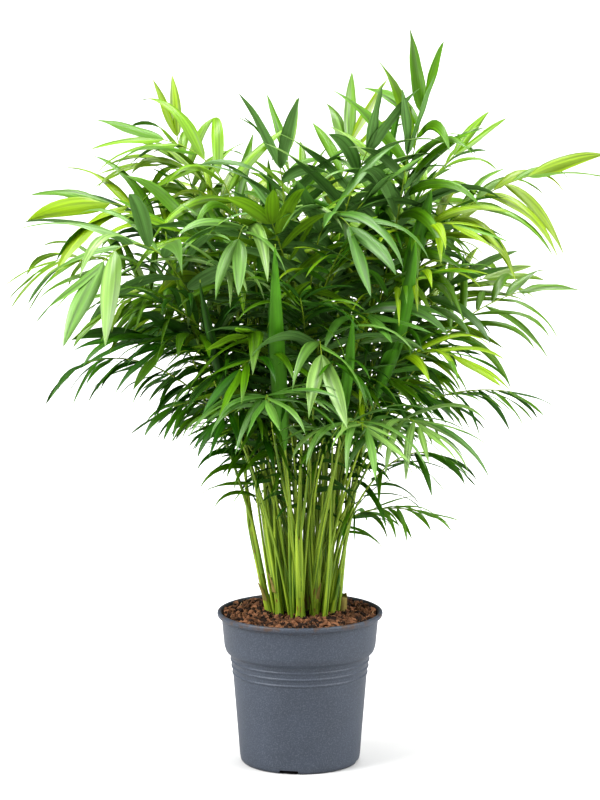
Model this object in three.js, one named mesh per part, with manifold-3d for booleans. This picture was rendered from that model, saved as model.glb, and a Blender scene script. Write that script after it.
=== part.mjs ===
// A bushy parlour palm in a round nursery pot.
// The frame is in millimetres, +Z up, with the origin at the centre of the pot's flat underside.
// Fifteen green canes stand in the potting soil. Each carries up to three fronds on long thin stalks.
// Every frond is one thin solid: a three-sided rib whose sides run out into pointed leaflets.

import * as THREE from "three";
import { mergeVertices } from "three/addons/utils/BufferGeometryUtils.js";
import Module from "manifold-3d";

const wasm = await Module();
wasm.setup();

// ---- Driving dimensions, in millimetres and degrees ----

const POT = { height: 195, rim: 105, foot: 73.5, wall: 1.8, floor: 3, sides: 32 };
const NOTCH = { count: 4, width: 24, height: 4.5, depth: 22, first: -101 }; // drain notches round the foot
const SOIL = { top: 191, edge: 187, flat: 64, clearance: 0.4 };
const CLUMP = { canes: 15, radius: 43, x: 4, y: 2, turn: 137.5, first: 54 };
const CANE = { height: 94, vary: 34, foot: 6.8, radius: 5.1, flare: 16, splay: 0.45, sides: 8, stalks: 3 };
const RIB = { start: 2.1, end: 0.9, seat: 3, root: 5, bladed: 0.85, stations: 6, samples: 150 };
const ARCH = { lean: 0.42, rise: 0.42, fall: 0.33, steep: 0.95 }; // how a rib leaves its cane and nods over
const SEATING = { wish: 45, far: 280, crowd: 4 }; // how a frond picks its cane
const ROOM = { between: 2, shared: 0.4, steps: 16 }; // how far ribs stay apart, and closer near a shared cane
const GAP = 0.3; // what touching pieces keep between them

// The angle at which leaflets leave their rib, from the first pair on and at the end, and how much it varies.
const LEAFLET = { angles: [62, 36], end: 24, vary: 16, raiseVary: 30, hang: 172, untwist: 0.6, endBend: 0.3 };
const LENGTHS = { least: 0.5, more: 0.5, vary: [0.9, 1.08] };

// Leaflet sections: how far along the leaflet each is, and its share of the width.
const NECK = [0.27, 0.62];
const WAIST = [0.27, 0.95];
const MIDDLE = [0.42, 0.97];
const BELLY = [0.6, 0.85];
const THICK = 0.0125;

// Leaflet pairs on a frond, how far apart they sit, their length and width, how far they rise from the
// frond's plane, how far they bend down from root to tip, and how many sections each has.
const KINDS = {
  wide: { pairs: 5, pitch: 38, length: 165, width: 27, raise: 12, bend: 76, sections: 2 },
  broad: { pairs: 7, pitch: 33, length: 150, width: 21, raise: 12, bend: 76, sections: 2 },
  middling: { pairs: 8, pitch: 27, length: 122, width: 16.5, raise: 10, bend: 76, sections: 2 },
  star: { pairs: 8, pitch: 15, length: 124, width: 12, raise: 4, bend: 74, sections: 2 },
  fine: { pairs: 9, pitch: 21, length: 92, width: 11.5, raise: -24, bend: 84, sections: 1 },
  small: { pairs: 8, pitch: 17, length: 78, width: 9.5, raise: -4, bend: 74, sections: 1 },
};

// Fronds by tier. A row is the direction from the pot's axis, anticlockwise from +X, the reach and height of
// the rib's tip, how far the tip nods below level, how far the blade rolls about its rib, its kind and tone.
const FRONDS = {
  top: [
    [-18, 157, 832, -80, -60, "broad", "mid"],
    [-29, 150, 782, -78, 30, "broad", "pale"],
    [-48, 122, 788, -60, 20, "broad", "pale"],
    [-110, 70, 765, -70, 0, "broad", "pale"],
    [144, 194, 788, -70, 0, "middling", "mid"],
    [58, 120, 782, -60, 15, "broad", "bright"],
    [100, 95, 770, -60, -10, "middling", "mid"],
    [14, 200, 770, -45, -20, "middling", "mid"],
  ],
  upper: [
    [-4, 284, 750, -16, -25, "broad", "bright"],
    [173, 172, 792, -12, 28, "broad", "mid"],
    [157, 207, 755, 6, 10, "middling", "bright"],
    [174, 240, 712, -8, 28, "wide", "mid"],
    [-71, 185, 705, 30, 0, "broad", "pale"],
    [-113, 190, 690, 35, 0, "broad", "pale"],
    [-30, 215, 700, 5, -15, "middling", "mid"],
    [40, 225, 700, 0, 0, "broad", "bright"],
    [80, 215, 716, 0, 10, "broad", "mid"],
    [120, 225, 700, 5, -10, "broad", "bright"],
  ],
  middle: [
    [176, 306, 640, 20, 20, "middling", "bright"],
    [-142, 300, 664, 40, 0, "wide", "pale"],
    [-144, 204, 554, 30, 0, "middling", "deep"],
    [4, 276, 600, -14, -20, "middling", "bright"],
    [24, 258, 606, -10, -20, "middling", "bright"],
    [-39, 240, 545, 15, 0, "middling", "mid"],
    [-158, 240, 600, 25, 0, "middling", "bright"],
    [-83, 211, 555, 40, 0, "broad", "pale"],
    [-110, 213, 535, 32, 0, "middling", "deep"],
    [58, 262, 590, 10, 10, "middling", "bright"],
    [95, 265, 590, 15, 0, "broad", "mid"],
    [132, 265, 580, 10, 0, "middling", "bright"],
  ],
  low: [
    [-100, 235, 504, 12, 0, "star", "pale"],
    [-70, 235, 468, 14, 0, "star", "pale"],
    [-50, 225, 462, 18, 0, "star", "pale"],
    [-172, 280, 514, 22, -5, "fine", "deep"],
    [-158, 170, 468, 18, 0, "fine", "deep"],
    [4, 262, 474, 4, 0, "fine", "deep"],
    [14, 155, 316, 6, 0, "small", "mid"],
    [45, 240, 460, 20, 0, "fine", "mid"],
    [76, 250, 450, 26, 0, "fine", "deep"],
    [120, 250, 455, 25, 0, "fine", "mid"],
    [-25, 196, 408, 22, 0, "fine", "deep"],
    [-120, 185, 470, 25, 0, "fine", "deep"],
    [88, 150, 346, 16, 0, "small", "mid"],
  ],
};

// What is tried, in this order, until a frond or leaflet is clear of the rest.
const SWAYS = [0, 14, -14, 28, -28, 42, -42, 60, -60, 80, -80];
const LIFTS = [0, 12, -12, 24, -24, 38, -38, 54];
const CUTS = [1, 0.78, 0.6];

const COLOUR = { pot: 0x596069, soil: 0x4a3020, cane: 0x86a548 };
const TONES = { deep: 0x2f6a18, mid: 0x4f8a26, bright: 0x83b21f, pale: 0x86ab66 };
const ROUGHNESS = { pot: 0.6, soil: 0.95, cane: 0.5, leaf: 0.45 };

// ---- Small helpers ----

const UP = new THREE.Vector3(0, 0, 1);
const radians = THREE.MathUtils.degToRad;
const vector = (x, y, z) => new THREE.Vector3(x, y, z);
const heading = (turn) => vector(Math.cos(turn), Math.sin(turn), 0);
const mix = THREE.MathUtils.lerp;
const range = (count) => [...Array(count).keys()];
const flip = ([a, b, c]) => [a, c, b];

// Adds up vectors, each with the number it is multiplied by.
const sum = (...terms) => terms.reduce((total, [k, v]) => total.addScaledVector(v, k), vector(0, 0, 0));

// The part of a vector that is square to a direction, at length 1.
const squared = (v, way) => v.clone().addScaledVector(way, -v.dot(way)).normalize();

// A repeatable stream of numbers from 0 to 1.
function seeded(seed) {
  let state = 7919 * (seed + 1);
  return () => {
    state = (state * 16807) % 2147483647;
    return state / 2147483647;
  };
}

function namedMesh(name, geometry, color, roughness) {
  const mesh = new THREE.Mesh(geometry, new THREE.MeshStandardMaterial({ color, roughness, metalness: 0 }));
  mesh.name = name;
  return mesh;
}

function geometryOf(points, triangles) {
  return new THREE.BufferGeometry().setFromPoints(points).setIndex(triangles.flat());
}

function solidOf(geometry) {
  const bare = geometry.clone();
  bare.deleteAttribute("normal");
  bare.deleteAttribute("uv");
  const merged = mergeVertices(bare, 1e-4);
  const vertProperties = merged.attributes.position.array;
  const triVerts = new Uint32Array(merged.index.array);
  return new wasm.Manifold(new wasm.Mesh({ numProp: 3, vertProperties, triVerts }));
}

function geometryFrom(solid) {
  const { vertProperties, triVerts } = solid.getMesh();
  return new THREE.BufferGeometry()
    .setAttribute("position", new THREE.BufferAttribute(vertProperties, 3))
    .setIndex(new THREE.BufferAttribute(triVerts, 1));
}

// A profile of [radius, height] pairs turned round the upright axis.
function turned(profile, sides) {
  const points = profile.map(([r, z]) => new THREE.Vector2(r, z));
  return new THREE.LatheGeometry(points, sides).rotateX(Math.PI / 2);
}

// ---- Pot and soil ----

// Radius and height up the outside: a tapered body, two fine steps, a rounded shoulder, a collar and a lip.
const COLLAR = 99.6;
const BODY = [
  [POT.foot, 0],
  [POT.foot + 2.2, 3],
  [POT.foot + 3.2, 9],
  [85.8, 121],
  [86.8, 123],
  [87.4, 131],
  [88.4, 133],
  [89.2, 140],
  [94, 144],
  [96.2, 151],
  [COLLAR, POT.height - 8],
];
const LIP = [
  [POT.rim - 1, POT.height - 6.5],
  [POT.rim, POT.height - 5],
  [POT.rim, POT.height - 1.5],
  [POT.rim - 1, POT.height],
  [POT.rim - 4, POT.height],
];
// The inside, from the lip down to the floor.
const INSIDE = [
  [COLLAR - POT.wall, POT.height - 8],
  [96.2 - POT.wall, 151],
  [94 - POT.wall, 145],
  [88.4 - POT.wall, 140],
  [85.8 - POT.wall, 121],
  [POT.foot + 3.2 - POT.wall, 9],
  [POT.foot + 1.4 - POT.wall, POT.floor],
];

function pot() {
  let shell = solidOf(turned([[0, 0], ...BODY, ...LIP, ...INSIDE, [0, POT.floor]], POT.sides));
  for (const i of range(NOTCH.count)) {
    const block = new THREE.BoxGeometry(NOTCH.depth, NOTCH.width, 2 * NOTCH.height);
    block.translate(POT.foot - 2, 0, 0).rotateZ(radians(NOTCH.first + (360 / NOTCH.count) * i));
    shell = shell.subtract(solidOf(block));
  }
  return namedMesh("pot", geometryFrom(shell), COLOUR.pot, ROUGHNESS.pot);
}

// The soil fills the pot, slightly mounded, and lies a hair off its wall and over its notches.
function soil() {
  const bottom = NOTCH.height + GAP;
  const wall = INSIDE.slice(0, -1).map(([r, z]) => [r - SOIL.clearance, z]);
  wall[0][1] = SOIL.edge;
  const [low] = wall.slice(-1);
  const mound = [[SOIL.flat, SOIL.top], [0, SOIL.top]];
  const profile = [[0, bottom], [low[0] - 1, bottom], ...wall.reverse(), ...mound];
  return namedMesh("soil", turned(profile, POT.sides), COLOUR.soil, ROUGHNESS.soil);
}

// ---- Canes ----

// Canes fill the clump like seeds in a sunflower, and each leans a little further out as it rises.
function cane(index) {
  const spread = CLUMP.radius * Math.sqrt((index + 0.5) / CLUMP.canes);
  const out = heading(radians(CLUMP.first + CLUMP.turn * index)).multiplyScalar(spread);
  const height = CANE.height + CANE.vary * Math.sin(2.3 * index);
  const foot = vector(CLUMP.x, CLUMP.y, SOIL.top + GAP).add(out);
  const lean = out.multiplyScalar((CANE.splay * height) / CANE.height);
  return { index, foot, lean, height, top: sum([1, foot], [1, lean], [height, UP]), used: [] };
}

// The cane is sheared and not turned, so its cuts at foot and top stay level.
function caneMesh({ index, foot, lean, height }) {
  const side = [[CANE.foot, 0], [CANE.radius + 0.3, CANE.flare], [CANE.radius, height]];
  const shear = new THREE.Matrix4().makeShear(0, 0, 0, 0, lean.x / height, lean.y / height);
  const geometry = turned([[0, 0], ...side, [0, height]], CANE.sides);
  geometry.applyMatrix4(shear).translate(foot.x, foot.y, foot.z);
  return namedMesh("cane_" + String(index + 1).padStart(2, "0"), geometry, COLOUR.cane, ROUGHNESS.cane);
}

// ---- Ribs ----

// The free seats on the canes' tops, the best first: near the side that the frond grows to, facing its way.
function seats(canes, direction, reach) {
  const way = heading(direction);
  const wish = way.clone().multiplyScalar(SEATING.wish * Math.min(reach / SEATING.far, 1));
  return canes
    .flatMap((owner) =>
      range(CANE.stalks)
        .filter((slot) => !owner.used.includes(slot))
        .map((slot) => {
          const turn = radians((360 / CANE.stalks) * slot + 30 * owner.index);
          const offset = heading(turn).multiplyScalar(RIB.seat);
          const from = sum([1, owner.top], [1, offset], [GAP, UP]);
          const away = Math.hypot(owner.foot.x - wish.x, owner.foot.y - wish.y);
          return { owner, slot, from, cost: away - offset.dot(way) + SEATING.crowd * owner.used.length };
        }),
    )
    .sort((a, b) => a.cost - b.cost);
}

// The rib rises steeply from its cane, arches over and ends at the tip. Sway bows it sideways.
function ribCurve(from, [azimuth, reach, height, nod], sway) {
  const tip = heading(radians(azimuth)).multiplyScalar(reach).setZ(height);
  const chord = tip.clone().sub(from);
  const long = chord.length();
  const out = vector(chord.x, chord.y, 0).normalize();
  const side = vector(-out.y, out.x, 0);
  const lean = ARCH.lean * Math.atan2(Math.hypot(chord.x, chord.y), chord.z);
  const dip = radians(nod);
  const up = sum([Math.cos(lean), UP], [Math.sin(lean), out]);
  const back = sum([Math.sin(dip), UP], [-Math.cos(dip), out]);
  const rise = sum([1, from], [ARCH.rise * long, up], [sway, side]);
  const fall = sum([1, tip], [ARCH.fall * long, back], [sway / 2, side]);
  return new THREE.CubicBezierCurve3(from, rise, fall, tip);
}

const ribRadius = (share) => mix(RIB.start, RIB.end, share);

// How far along the rib its stations lie: a few on the bare stalk, then two for each pair of leaflets.
function stationShares(curve, kind) {
  const total = curve.getLength();
  const pitch = Math.min(kind.pitch, (RIB.bladed * total) / kind.pairs);
  const stalk = 1 - (kind.pairs * pitch) / total;
  const shares = range(RIB.stations).map((i) => ({ share: (stalk * i) / RIB.stations, pair: 0 }));
  for (const pair of range(kind.pairs)) {
    const share = 1 - ((kind.pairs - 1 - pair) * pitch) / total;
    shares.push({ share: share - RIB.root / total, pair: pair + 1 }, { share, pair: 0 });
  }
  return { stalk, shares };
}

// Points along straight stretches, with the room that each takes up.
function track(corners, radiusAt) {
  const path = new THREE.CurvePath();
  for (let i = 1; i < corners.length; i++) path.add(new THREE.LineCurve3(corners[i - 1], corners[i]));
  const points = path.getSpacedPoints(RIB.samples);
  return points.map((at, i) => ({ at, radius: radiusAt(i / RIB.samples), step: i }));
}

// Tracks meet where points come closer than their radii and a margin, small where stalks share a cane.
function tracksMeet(some, others) {
  return some.some((p) =>
    others.some((q) => {
      const margin = p.step + q.step < ROOM.steps ? ROOM.shared : ROOM.between;
      const room = p.radius + q.radius + margin;
      return p.at.distanceToSquared(q.at) < room * room;
    }),
  );
}

// The first seat and sway that bring a frond's rib clear of every cane and rib so far.
function clearRib(row, canes, ribs) {
  for (const seat of seats(canes, radians(row[0]), row[1])) {
    for (const sway of SWAYS) {
      const curve = ribCurve(seat.from, row, sway);
      const { stalk, shares } = stationShares(curve, KINDS[row[5]]);
      const points = track(shares.map(({ share }) => curve.getPointAt(share)), ribRadius);
      const other = canes.filter((c) => c !== seat.owner).some((c) => tracksMeet(points, c.points));
      if (!other && !ribs.some((rib) => tracksMeet(points, rib.points))) {
        seat.owner.used.push(seat.slot);
        return { row, curve, points, stalk, shares };
      }
    }
  }
  throw new Error("no clear way for the frond at " + row.slice(0, 3));
}

// ---- Fronds ----

// A frame on the rib: where it is, its way on, its upper side and its right side, rolled about the rib.
function frameAt(curve, share, roll) {
  const at = curve.getPointAt(share);
  const along = curve.getTangentAt(share);
  const inwards = vector(curve.v0.x - curve.v3.x, curve.v0.y - curve.v3.y, 0);
  const level = squared(along.z > ARCH.steep ? inwards : UP, along);
  const turn = radians(roll);
  const right = sum([Math.cos(turn), along.clone().cross(level)], [Math.sin(turn), level]);
  return { at, along, right, up: right.clone().cross(along) };
}

// The rib's three corners and its frame at each station. The first ones lie level, on the cane.
const CORNER = Math.sqrt(3) / 2;

function ribStations({ row, curve, stalk, shares }) {
  return shares.map(({ share, pair }, i) => {
    const frame = frameAt(curve, share, row[4] * Math.min(share / stalk, 1));
    if (i === 0) {
      frame.up = squared(frame.up, UP);
      frame.right = UP.clone().cross(frame.up);
    }
    const r = ribRadius(share);
    const top = sum([1, frame.at], [r, frame.up]);
    const right = sum([1, frame.at], [-r / 2, frame.up], [CORNER * r, frame.right]);
    const left = sum([1, frame.at], [-r / 2, frame.up], [-CORNER * r, frame.right]);
    return { pair, frame, top, right, left };
  });
}

// A leaflet's rings of three corners, near edge, far edge and ridge, and its tip. It bends down in an arc.
function leafletRings(frame, root, side, pair, kind, draws, lift, cut) {
  const share = (pair - 0.5) / kind.pairs;
  const last = pair === kind.pairs;
  const vary = (spread, k) => spread * (draws[k] - 0.5);
  const angle = radians(last ? LEAFLET.end : mix(...LEAFLET.angles, share) + vary(LEAFLET.vary, 0));
  const raise = radians(kind.raise + vary(LEAFLET.raiseVary, 1) + lift);
  const away = sum([side * Math.cos(raise), frame.right], [Math.sin(raise), frame.up]);
  const way = sum([Math.cos(angle), frame.along], [Math.sin(angle), away]);
  const fullness = LENGTHS.least + LENGTHS.more * Math.sin(Math.PI * (0.12 + 0.8 * share));
  const long = cut * kind.length * fullness * mix(...LENGTHS.vary, draws[2]);
  const wide = kind.width * (last ? 1.1 : 0.85 + 0.2 * share);

  const level = sum([1, way], [-way.z, UP]).normalize();
  const start = Math.atan2(Math.hypot(way.x, way.y), way.z);
  const easy = mix(0.4, 1, Math.sin(start)) * (last ? LEAFLET.endBend : 1);
  const fullBend = radians(kind.bend) * mix(0.5, 1.4, draws[3]) * easy;
  const bend = Math.min(fullBend, radians(LEAFLET.hang) - start);
  const line = (s) => {
    const turn = start + bend * s;
    const out = (long / bend) * (Math.cos(start) - Math.cos(turn));
    const rise = (long / bend) * (Math.sin(turn) - Math.sin(start));
    return sum([1, root], [out, level], [rise, UP]);
  };

  // It leaves the rib with its width along the rib, and untwists until it bends flatwise. The last pair
  // stays flat.
  const edge = squared(frame.along, way);
  const flat = UP.clone().cross(level).multiplyScalar(side);
  const flatwise = edge.dot(flat);
  const upright = edge.dot(sum([-Math.cos(start), level], [Math.sin(start), UP]));
  const ring = ([s, width]) => {
    const untwisted = last ? 0 : s;
    const turn = start + bend * s;
    const slope = sum([Math.sin(turn), level], [Math.cos(turn), UP]);
    const above = sum([-Math.cos(turn), level], [Math.sin(turn), UP]);
    const turned = flatwise + LEAFLET.untwist * untwisted * (flatwise < 0 ? -1 : 1);
    const across = sum([turned, flat], [(1 - untwisted) * upright, above]).normalize();
    const upper = across.clone().cross(slope).multiplyScalar(-side);
    const half = (wide * width) / 2;
    const middle = line(s);
    return [
      sum([1, middle], [-half, across]),
      sum([1, middle], [half, across]),
      sum([1, middle], [THICK * long, upper]),
    ];
  };
  const sections = kind.sections === 2 ? [last ? NECK : WAIST, BELLY] : [MIDDLE];
  return [...sections.flatMap(ring), line(1)];
}

// Triangles from a root of four corners, near top, far top, far low and near low, out to the tip.
// Corners follow the root in rings of near edge, far edge and ridge.
function leafletFaces(root, first, sections) {
  const [nearTop, farTop, farLow, nearLow] = root;
  let [near, far, ridge] = [first, first + 1, first + 2];
  const faces = [
    [nearTop, farTop, ridge],
    [nearTop, ridge, near],
    [farTop, far, ridge],
    [nearLow, near, far],
    [nearLow, far, farLow],
    [nearTop, near, nearLow],
    [farTop, farLow, far],
  ];
  for (let i = 1; i < sections; i++) {
    const [near2, far2, ridge2] = [near + 3, far + 3, ridge + 3];
    faces.push([near, ridge, ridge2], [near, ridge2, near2]);
    faces.push([ridge, far, far2], [ridge, far2, ridge2]);
    faces.push([near, near2, far2], [near, far2, far]);
    [near, far, ridge] = [near2, far2, ridge2];
  }
  const tip = ridge + 1;
  faces.push([near, ridge, tip], [ridge, far, tip], [near, tip, far]);
  return faces;
}

const apart = (a, b) => a.min.some((low, i) => low > b.max[i] + GAP || b.min[i] > a.max[i] + GAP);

// Pieces of one frond may touch where they grow together: the rib's stretches, and leaflets at their root.
const joined = (a, b) => a.owner === b.owner && ((a.rib && b.rib) || Math.abs(a.step - b.step) < 2);

// Takes up the space of a piece, or returns false where it would touch another.
function claim(taken, points, faces, piece) {
  const solid = solidOf(geometryOf(points, faces));
  const box = solid.boundingBox();
  const rivals = taken.filter((other) => !joined(piece, other) && !apart(box, other.box));
  if (rivals.some((other) => solid.minGap(other.solid, 1) < 0.9 * GAP)) return false;
  taken.push({ ...piece, solid, box });
  return true;
}

// The first lift and length at which the leaflet touches nothing, or null where it has no room.
function clearLeaflet(corners, frame, side, pair, kind, draws, taken, piece) {
  const root = sum(...corners.map((corner) => [1 / corners.length, corner]));
  const outer = leafletFaces([0, 1, 2, 3], 4, kind.sections);
  const faces = [...outer, [0, 2, 1], [0, 3, 2]];
  for (const cut of CUTS) {
    for (const lift of LIFTS) {
      const rings = leafletRings(frame, root, side, pair, kind, draws, lift, cut);
      const points = [...corners, ...rings];
      if (claim(taken, points, side < 0 ? faces : faces.map(flip), piece)) return rings;
    }
  }
  return null;
}

// A frond joins its stations' corners. Between a pair's two stations the rib's sides run out into leaflets.
function frondMesh(name, { row, stations, owner }, taken) {
  const kind = KINDS[row[5]];
  const random = seeded(owner);
  const points = stations.flatMap(({ top, right, left }) => [top, right, left]);
  const faces = [[0, 2, 1]];
  for (const [i, { pair, frame }] of stations.slice(0, -1).entries()) {
    const [top, right, left] = [3 * i, 3 * i + 1, 3 * i + 2];
    faces.push([left, right + 3, right], [left, left + 3, right + 3]);
    for (const side of [1, -1]) {
      const edge = side > 0 ? right : left;
      const root = [top, top + 3, edge + 3, edge];
      const corners = root.map((k) => points[k]);
      const draws = pair ? range(4).map(random) : [];
      const piece = { owner, step: i, rib: false };
      const rings = pair ? clearLeaflet(corners, frame, side, pair, kind, draws, taken, piece) : null;
      const [a, b, c, d] = root;
      const added = rings ? leafletFaces(root, points.length, kind.sections) : [[a, b, c], [a, c, d]];
      points.push(...(rings ?? []));
      faces.push(...(side < 0 ? added : added.map(flip)));
    }
  }
  const end = 3 * (stations.length - 1);
  faces.push([end, end + 1, end + 2]);
  return namedMesh(name, geometryOf(points, faces), TONES[row[6]], ROUGHNESS.leaf);
}

// ---- Assembly ----

const palm = new THREE.Group();
palm.add(pot(), soil());

const canes = range(CLUMP.canes).map(cane);
const ribs = [];
const taken = [];
for (const mesh of canes.map(caneMesh)) {
  palm.add(mesh);
  const solid = solidOf(mesh.geometry);
  taken.push({ solid, box: solid.boundingBox(), owner: -1, step: 0, rib: false });
}
for (const c of canes) c.points = track([c.foot, c.top], () => CANE.foot);

for (const [tier, rows] of Object.entries(FRONDS)) {
  for (const [i, row] of rows.entries()) {
    const rib = clearRib(row, canes, ribs);
    rib.name = "frond_" + tier + "_" + String(i + 1).padStart(2, "0");
    rib.owner = ribs.length;
    rib.stations = ribStations(rib);
    ribs.push(rib);
  }
}

// Every rib claims its space before the first leaflet grows.
const PRISM = [[0, 2, 1], [3, 4, 5], [0, 1, 4], [0, 4, 3], [1, 2, 5], [1, 5, 4], [2, 0, 3], [2, 3, 5]];
for (const { stations, owner } of ribs) {
  for (let step = 0; step + 1 < stations.length; step++) {
    const [a, b] = [stations[step], stations[step + 1]];
    const corners = [a.top, a.right, a.left, b.top, b.right, b.left];
    const free = claim(taken, corners, PRISM, { owner, step, rib: true });
    if (!free) throw new Error("ribs meet at frond " + owner);
  }
}
for (const rib of ribs) palm.add(frondMesh(rib.name, rib, taken));

export default palm;
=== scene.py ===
# A bushy parlour palm in a round nursery pot, dressed around its solids.
# The plant's rule works in millimetres and degrees, +Z up, from the centre of the pot's underside.
# Finished pieces are in metres.

import math

import bmesh
import bpy
import numpy as np
from mathutils import Matrix, Vector, noise


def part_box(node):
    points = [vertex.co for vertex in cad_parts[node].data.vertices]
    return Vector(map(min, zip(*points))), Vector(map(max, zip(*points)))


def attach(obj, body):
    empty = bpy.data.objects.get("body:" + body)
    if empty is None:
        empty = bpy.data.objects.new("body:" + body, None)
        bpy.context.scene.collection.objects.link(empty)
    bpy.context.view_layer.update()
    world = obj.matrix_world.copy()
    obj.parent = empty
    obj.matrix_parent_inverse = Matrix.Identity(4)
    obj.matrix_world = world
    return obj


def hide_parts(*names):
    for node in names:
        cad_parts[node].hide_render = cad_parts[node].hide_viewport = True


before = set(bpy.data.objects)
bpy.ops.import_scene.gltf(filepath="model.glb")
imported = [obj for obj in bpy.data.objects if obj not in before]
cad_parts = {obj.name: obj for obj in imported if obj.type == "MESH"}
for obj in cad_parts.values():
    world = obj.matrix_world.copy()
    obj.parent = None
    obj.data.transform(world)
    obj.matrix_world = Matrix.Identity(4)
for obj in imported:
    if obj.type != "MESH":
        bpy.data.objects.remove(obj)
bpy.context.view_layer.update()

MM = 0.001

# ---- Driving dimensions, in millimetres and degrees ----

_, pot_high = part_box("pot")
soil_low, soil_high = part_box("soil")
POT = {"height": pot_high.z / MM, "rim": pot_high.x / MM, "foot": 73.5, "wall": 1.8, "floor": 3}
NOTCH = {"count": 4, "width": 24, "height": 4.5, "depth": 22, "first": -101}
SOIL = {"top": soil_high.z / MM, "edge": 187, "flat": 64, "bottom": soil_low.z / MM, "clearance": 0.4}
CLUMP = {"canes": 15, "radius": 43, "x": 4, "y": 2, "turn": 137.5, "first": 54}
CANE = {"height": 94, "vary": 34, "foot": 6.8, "radius": 5.1, "flare": 16, "splay": 0.45, "stalks": 3}
RIB = {"start": 2.1, "end": 0.9, "seat": 3, "root": 5, "bladed": 0.85, "stations": 6, "samples": 150}
ARCH = {"lean": 0.42, "rise": 0.42, "fall": 0.33, "steep": 0.95}
SEATING = {"wish": 45, "far": 280, "crowd": 4}
ROOM = {"between": 2, "shared": 0.4, "steps": 16}
GAP = 0.3

# The angle at which leaflets leave their rib, from the first pair on and at the end, and how much they vary.
LEAFLET = {"angles": [62, 32], "end": 15, "vary": 8, "raise_vary": 14, "hang": 155, "untwist": 0.6,
           "end_bend": 0.3}

# The source's leaflet pairs and their pitch, then the finer leaflets that stand for them here: pairs, length,
# width, how far they rise from the frond's plane, and how far they bend down from root to tip. All but star
# and small bend further than the source's. Only young fronds are slender.
KINDS = {
    "wide": {"pairs": 5, "pitch": 38, "finer": 7, "length": 165, "width": 26, "raise": 12, "bend": 86},
    "broad": {"pairs": 7, "pitch": 33, "finer": 9, "length": 150, "width": 19, "raise": 12, "bend": 90},
    "middling": {"pairs": 8, "pitch": 27, "finer": 10, "length": 122, "width": 14.5, "raise": 10, "bend": 96},
    "star": {"pairs": 8, "pitch": 15, "finer": 9, "length": 124, "width": 11.5, "raise": 4, "bend": 74},
    "fine": {"pairs": 9, "pitch": 21, "finer": 11, "length": 92, "width": 9.5, "raise": -24, "bend": 104},
    "small": {"pairs": 8, "pitch": 17, "finer": 10, "length": 80, "width": 9, "raise": -4, "bend": 74},
    "slender": {"pairs": 8, "pitch": 18, "finer": 10, "length": 112, "width": 10, "raise": 20, "bend": 104},
}

# Fronds by tier. A row is the direction from the pot's axis, anticlockwise from +X, the reach and height of
# the rib's tip, how far the tip nods below level, how far the blade rolls about its rib, its kind and tone.
# The tone is partly painted light: deep is painted shade for fronds low and inside the crown, pale is a
# painted sheen, and bright is painted light coming through from behind.
FRONDS = {
    "top": [
        [-18, 157, 832, -80, -60, "broad", "mid"],
        [-29, 150, 782, -78, 30, "broad", "pale"],
        [-48, 122, 788, -60, 20, "broad", "pale"],
        [-110, 70, 765, -70, 0, "broad", "pale"],
        [144, 194, 788, -70, 0, "middling", "mid"],
        [58, 120, 782, -60, 15, "broad", "bright"],
        [100, 95, 770, -60, -10, "middling", "mid"],
        [14, 200, 770, -45, -20, "middling", "mid"],
    ],
    "upper": [
        [-4, 284, 750, -16, -25, "broad", "bright"],
        [173, 172, 792, -12, 28, "broad", "mid"],
        [157, 207, 755, 6, 10, "middling", "bright"],
        [174, 240, 712, -8, 28, "wide", "mid"],
        [-71, 185, 705, 30, 0, "broad", "pale"],
        [-113, 190, 690, 35, 0, "broad", "pale"],
        [-30, 215, 700, 5, -15, "middling", "mid"],
        [40, 225, 700, 0, 0, "broad", "bright"],
        [80, 215, 716, 0, 10, "broad", "mid"],
        [120, 225, 700, 5, -10, "broad", "bright"],
    ],
    "middle": [
        [176, 306, 640, 20, 20, "middling", "bright"],
        [-142, 300, 664, 40, 0, "wide", "pale"],
        [-144, 204, 554, 30, 0, "middling", "deep"],
        [4, 276, 600, -14, -20, "middling", "bright"],
        [24, 258, 606, -10, -20, "middling", "bright"],
        [-39, 240, 545, 15, 0, "middling", "mid"],
        [-158, 240, 600, 25, 0, "middling", "bright"],
        [-83, 211, 555, 40, 0, "broad", "pale"],
        [-110, 213, 535, 32, 0, "middling", "deep"],
        [58, 262, 590, 10, 10, "middling", "bright"],
        [95, 265, 590, 15, 0, "broad", "mid"],
        [132, 265, 580, 10, 0, "middling", "bright"],
    ],
    "low": [
        [-100, 235, 504, 12, 0, "star", "pale"],
        [-70, 235, 468, 14, 0, "star", "pale"],
        [-50, 225, 462, 18, 0, "star", "pale"],
        [-172, 280, 514, 22, -5, "fine", "deep"],
        [-158, 170, 468, 18, 0, "fine", "deep"],
        [4, 262, 474, 4, 0, "fine", "deep"],
        [14, 155, 316, 6, 0, "small", "mid"],
        [45, 240, 460, 20, 0, "fine", "mid"],
        [76, 250, 450, 26, 0, "fine", "deep"],
        [120, 250, 455, 25, 0, "fine", "mid"],
        [-25, 196, 408, 22, 0, "fine", "deep"],
        [-120, 185, 470, 25, 0, "fine", "deep"],
        [88, 150, 346, 16, 0, "small", "mid"],
    ],
}
SWAYS = [0, 14, -14, 28, -28, 42, -42, 60, -60, 80, -80]

# Younger fronds that fill the crown within the source's reach, turned round it like the canes. Their thin
# stalks rise from the soil between the canes. Reach is its least and what is added to that, and nod goes from
# the lowest frond to the highest. The lowest quarter is of the fine kind, and the lowest two fifths take the
# deep tone, which is painted shade for the crown's shaded inside.
YOUNG = {"count": 46, "turn": 137.5, "first": 20, "low": 445, "high": 735, "clump": 46, "sunk": 4,
         "reach": (70, 155), "nod": (30, -50), "nod_vary": 12, "roll": 25, "sway": 20, "fine": 0.25,
         "deep": 0.4}
YOUNG_KINDS = ["slender", "slender", "broad"]
YOUNG_TONES = ["deep", "mid", "pale", "mid", "deep", "pale", "bright"]
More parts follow.
